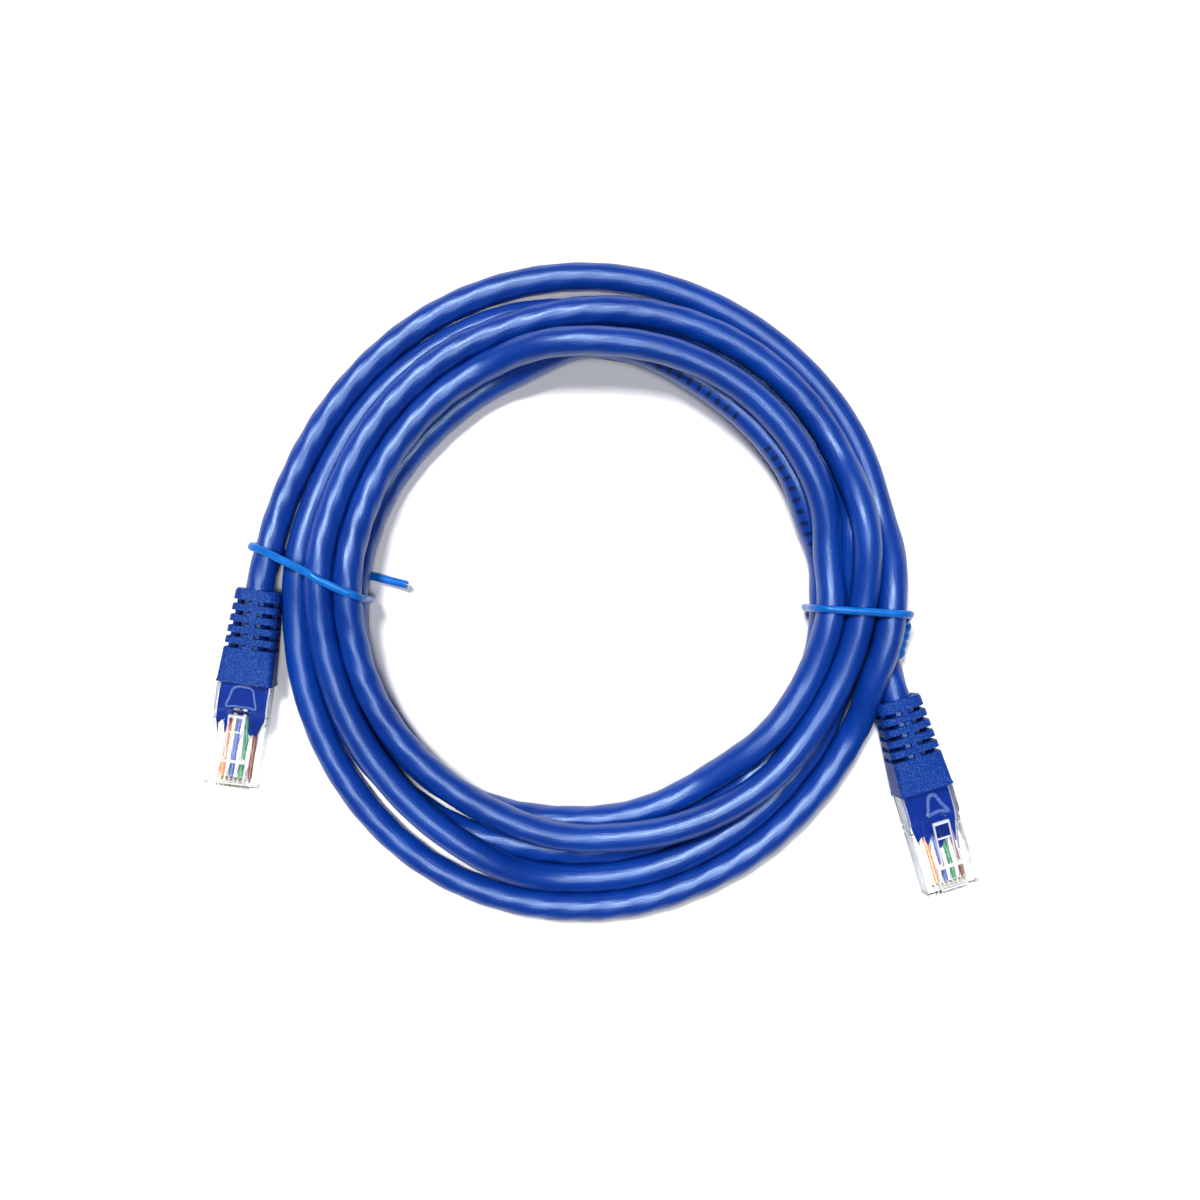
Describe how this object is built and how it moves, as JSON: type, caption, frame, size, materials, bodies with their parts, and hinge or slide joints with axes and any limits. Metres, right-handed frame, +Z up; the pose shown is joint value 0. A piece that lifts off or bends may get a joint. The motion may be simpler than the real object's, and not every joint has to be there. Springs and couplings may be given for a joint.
{
  "type": "ethernet patch cable",
  "caption": "Round-jacketed ethernet patch cable wound into a flat tied coil, with a ribbed boot and a clear modular plug on each end.",
  "frame": {"origin": "middle of the whole cable's footprint, on the surface it lies on", "axes": "+Z up from the surface; +X runs across the coil from the lead of plug a to the lead of plug b; both plugs point towards -Y"},
  "size_m": [0.1728, 0.15, 0.0203],
  "materials": {
    "jacket": "semi-gloss soft PVC cable jacket, deep royal blue",
    "boot": "fine spark-eroded satin texture, royal blue soft PVC",
    "mould": "dark royal blue moulding seen through the clear housing",
    "clear": "water-clear polycarbonate",
    "gold": "bright gold plating",
    "tie": "bright blue plastic coating on soft steel wire",
    "wire_white_orange": "extruded polyethylene insulation",
    "wire_orange": "extruded polyethylene insulation",
    "wire_white_green": "extruded polyethylene insulation",
    "wire_blue": "extruded polyethylene insulation",
    "wire_white_blue": "extruded polyethylene insulation",
    "wire_green": "extruded polyethylene insulation",
    "wire_white_brown": "extruded polyethylene insulation",
    "wire_brown": "extruded polyethylene insulation"
  },
  "bodies": {
    "root": {"cable_coil": "jacket", "lead_a": "jacket", "lead_b": "jacket", "tie_left": "tie", "tie_right": "tie", "housing_a": "clear", "relief_bar_a": "clear", "inner_mould_a": "mould", "jacket_end_a": "jacket", "boot_a": "boot", "contact_a1": "gold", "contact_a2": "gold", "contact_a3": "gold", "contact_a4": "gold", "contact_a5": "gold", "contact_a6": "gold", "contact_a7": "gold", "contact_a8": "gold", "conductor_a1": "wire_white_orange", "conductor_a2": "wire_orange", "conductor_a3": "wire_white_green", "conductor_a4": "wire_blue", "conductor_a5": "wire_white_blue", "conductor_a6": "wire_green", "conductor_a7": "wire_white_brown", "conductor_a8": "wire_brown", "housing_b": "clear", "relief_bar_b": "clear", "inner_mould_b": "mould", "jacket_end_b": "jacket", "boot_b": "boot", "contact_b1": "gold", "contact_b2": "gold", "contact_b3": "gold", "contact_b4": "gold", "contact_b5": "gold", "contact_b6": "gold", "contact_b7": "gold", "contact_b8": "gold", "conductor_b1": "wire_white_orange", "conductor_b2": "wire_orange", "conductor_b3": "wire_white_green", "conductor_b4": "wire_blue", "conductor_b5": "wire_white_blue", "conductor_b6": "wire_green", "conductor_b7": "wire_white_brown", "conductor_b8": "wire_brown"},
    "latch_a": {"latch_a": "clear"},
    "latch_b": {"latch_b": "clear"}
  },
  "joints": [
    {"name": "latch_a_press", "type": "hinge", "parent": "root", "child": "latch_a", "pos_m": [-0.08016, -0.04191, 0.00904], "axis": [-0.986, 0.1421, 0.0872], "range_deg": [0, 12], "stiffness_Nm_per_rad": 0.12},
    {"name": "latch_b_press", "type": "hinge", "parent": "root", "child": "latch_b", "pos_m": [0.08009, -0.06482, 0.00904], "axis": [-0.9566, -0.2779, 0.0872], "range_deg": [0, 12], "stiffness_Nm_per_rad": 0.12}
  ]
}
